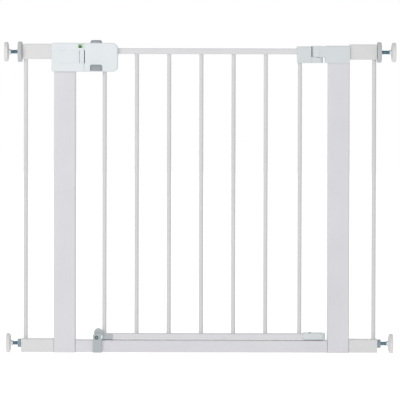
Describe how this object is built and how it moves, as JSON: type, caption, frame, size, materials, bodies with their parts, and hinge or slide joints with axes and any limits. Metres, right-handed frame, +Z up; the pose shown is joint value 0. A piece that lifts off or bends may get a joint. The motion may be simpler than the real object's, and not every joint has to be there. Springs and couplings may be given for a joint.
{
  "type": "safety baby gate",
  "caption": "Pressure-mounted metal safety gate with a swinging barred door, squeeze-release latch, swing stop and screw-out wall pads.",
  "frame": {"origin": "on the floor, midway between the two upper wall pads and midway through the gate's depth", "axes": "+X to the right seen from the front, towards the hinge side; +Y to the rear; +Z up"},
  "size_m": [0.896, 0.0468, 0.7168],
  "materials": {
    "frame_enamel": "satin powder coat",
    "extension_enamel": "satin powder coat",
    "door_enamel": "satin powder coat",
    "housing_plastic": "fine satin",
    "hinge_plastic": "fine satin",
    "white_plastic": "fine satin",
    "grey_plastic": "fine satin",
    "button_plastic": "fine satin",
    "wheel_plastic": "fine satin",
    "pad_rubber": "soft matte",
    "zinc_steel": "zinc plated",
    "spring_steel": "drawn wire",
    "green_plastic": "glossy",
    "red_plastic": "glossy"
  },
  "bodies": {
    "frame": {"left_post": "frame_enamel", "right_post": "frame_enamel", "frame_rail": "frame_enamel", "left_upper_tube": "extension_enamel", "left_lower_tube": "extension_enamel", "right_upper_tube": "extension_enamel", "right_lower_tube": "extension_enamel", "left_extension_bar": "extension_enamel", "right_extension_bar": "extension_enamel", "left_upper_end_cap": "white_plastic", "left_lower_end_cap": "white_plastic", "right_upper_end_cap": "white_plastic", "right_lower_end_cap": "white_plastic", "extension_plugs": "white_plastic", "post_feet": "white_plastic", "strike_front_cover": "housing_plastic", "strike_rear_cover": "housing_plastic", "strike_screws": "zinc_steel", "indicator_panel": "green_plastic", "hinge_post_cap": "hinge_plastic", "hinge_pin": "zinc_steel", "pivot_pin": "zinc_steel", "catch_bracket": "grey_plastic", "stop_rivet": "zinc_steel"},
    "door": {"door_top_rail": "door_enamel", "door_bottom_rail": "door_enamel", "door_bar_1": "door_enamel", "door_bar_2": "door_enamel", "door_bar_3": "door_enamel", "door_bar_4": "door_enamel", "door_bar_5": "door_enamel", "door_bar_6": "door_enamel", "door_bar_7": "door_enamel", "handle_front_cover": "housing_plastic", "handle_rear_cover": "housing_plastic", "handle_screws": "zinc_steel", "hinge_door_cap": "hinge_plastic", "low_hinge_cap": "hinge_plastic", "low_hinge_screw": "zinc_steel", "door_sleeve": "grey_plastic", "top_button_spring": "spring_steel", "low_button_spring": "spring_steel"},
    "top_button": {"top_button": "button_plastic"},
    "low_button": {"low_button": "button_plastic"},
    "bolt": {"latch_bolt": "housing_plastic"},
    "shutter": {"indicator_shutter": "red_plastic"},
    "swing_stop": {"swing_stop": "grey_plastic"},
    "left_upper_screw": {"left_upper_spindle": "zinc_steel", "left_upper_pad": "pad_rubber"},
    "left_thumbwheel": {"left_thumbwheel": "wheel_plastic"},
    "left_lower_screw": {"left_lower_spindle": "zinc_steel", "left_lower_pad": "pad_rubber"},
    "left_nut": {"left_nut": "zinc_steel"},
    "right_upper_screw": {"right_upper_spindle": "zinc_steel", "right_upper_pad": "pad_rubber"},
    "right_thumbwheel": {"right_thumbwheel": "wheel_plastic"},
    "right_lower_screw": {"right_lower_spindle": "zinc_steel", "right_lower_pad": "pad_rubber"},
    "right_nut": {"right_nut": "zinc_steel"}
  },
  "joints": [
    {"name": "door_swing", "type": "hinge", "parent": "frame", "child": "door", "pos_m": [0.2704, 0, 0.035], "axis": [0, 0, 1], "range_deg": [-90, 90]},
    {"name": "top_button_press", "type": "slide", "parent": "door", "child": "top_button", "axis": [0, 0, -1], "range_m": [0, 0.005], "stiffness_N_per_m": 500, "springref_m": -0.002, "deforming": ["top_button_spring"]},
    {"name": "low_button_press", "type": "slide", "parent": "door", "child": "low_button", "axis": [0, 0, 1], "range_m": [0, 0.005], "stiffness_N_per_m": 500, "springref_m": -0.002, "deforming": ["low_button_spring"]},
    {"name": "bolt_slide", "type": "slide", "parent": "door", "child": "bolt", "axis": [1, 0, 0], "range_m": [0, 0.011]},
    {"name": "shutter_slide", "type": "slide", "parent": "frame", "child": "shutter", "axis": [1, 0, 0], "range_m": [0, 0.01]},
    {"name": "stop_turn", "type": "hinge", "parent": "frame", "child": "swing_stop", "pos_m": [-0.2359, -0.013, 0.0364], "axis": [0, 1, 0], "range_deg": [0, 45]},
    {"name": "left_thumbwheel_turn", "type": "hinge", "parent": "frame", "child": "left_thumbwheel", "pos_m": [-0.412, 0, 0.69], "axis": [-1, 0, 0], "range_deg": [-2160, 6480]},
    {"name": "left_upper_extend", "type": "slide", "parent": "frame", "child": "left_upper_screw", "axis": [-1, 0, 0], "range_m": [-0.0075, 0.0225]},
    {"name": "left_nut_turn", "type": "hinge", "parent": "frame", "child": "left_nut", "pos_m": [-0.412, 0, 0.02225], "axis": [-1, 0, 0], "range_deg": [-2160, 6480]},
    {"name": "left_lower_extend", "type": "slide", "parent": "frame", "child": "left_lower_screw", "axis": [-1, 0, 0], "range_m": [-0.0075, 0.0225]},
    {"name": "right_thumbwheel_turn", "type": "hinge", "parent": "frame", "child": "right_thumbwheel", "pos_m": [0.412, 0, 0.69], "axis": [1, 0, 0], "range_deg": [-2160, 6480]},
    {"name": "right_upper_extend", "type": "slide", "parent": "frame", "child": "right_upper_screw", "axis": [1, 0, 0], "range_m": [-0.0075, 0.0225]},
    {"name": "right_nut_turn", "type": "hinge", "parent": "frame", "child": "right_nut", "pos_m": [0.412, 0, 0.02225], "axis": [1, 0, 0], "range_deg": [-2160, 6480]},
    {"name": "right_lower_extend", "type": "slide", "parent": "frame", "child": "right_lower_screw", "axis": [1, 0, 0], "range_m": [-0.0075, 0.0225]}
  ],
  "couplings": [
    {"joint": "low_button_press", "follows": "top_button_press", "ratio": 1},
    {"joint": "bolt_slide", "follows": "top_button_press", "ratio": 2.2},
    {"joint": "shutter_slide", "follows": "top_button_press", "ratio": 2},
    {"joint": "left_upper_extend", "follows": "left_thumbwheel_turn", "m_per_rad": 0.00019894},
    {"joint": "left_lower_extend", "follows": "left_nut_turn", "m_per_rad": 0.00019894},
    {"joint": "right_upper_extend", "follows": "right_thumbwheel_turn", "m_per_rad": 0.00019894},
    {"joint": "right_lower_extend", "follows": "right_nut_turn", "m_per_rad": 0.00019894}
  ]
}
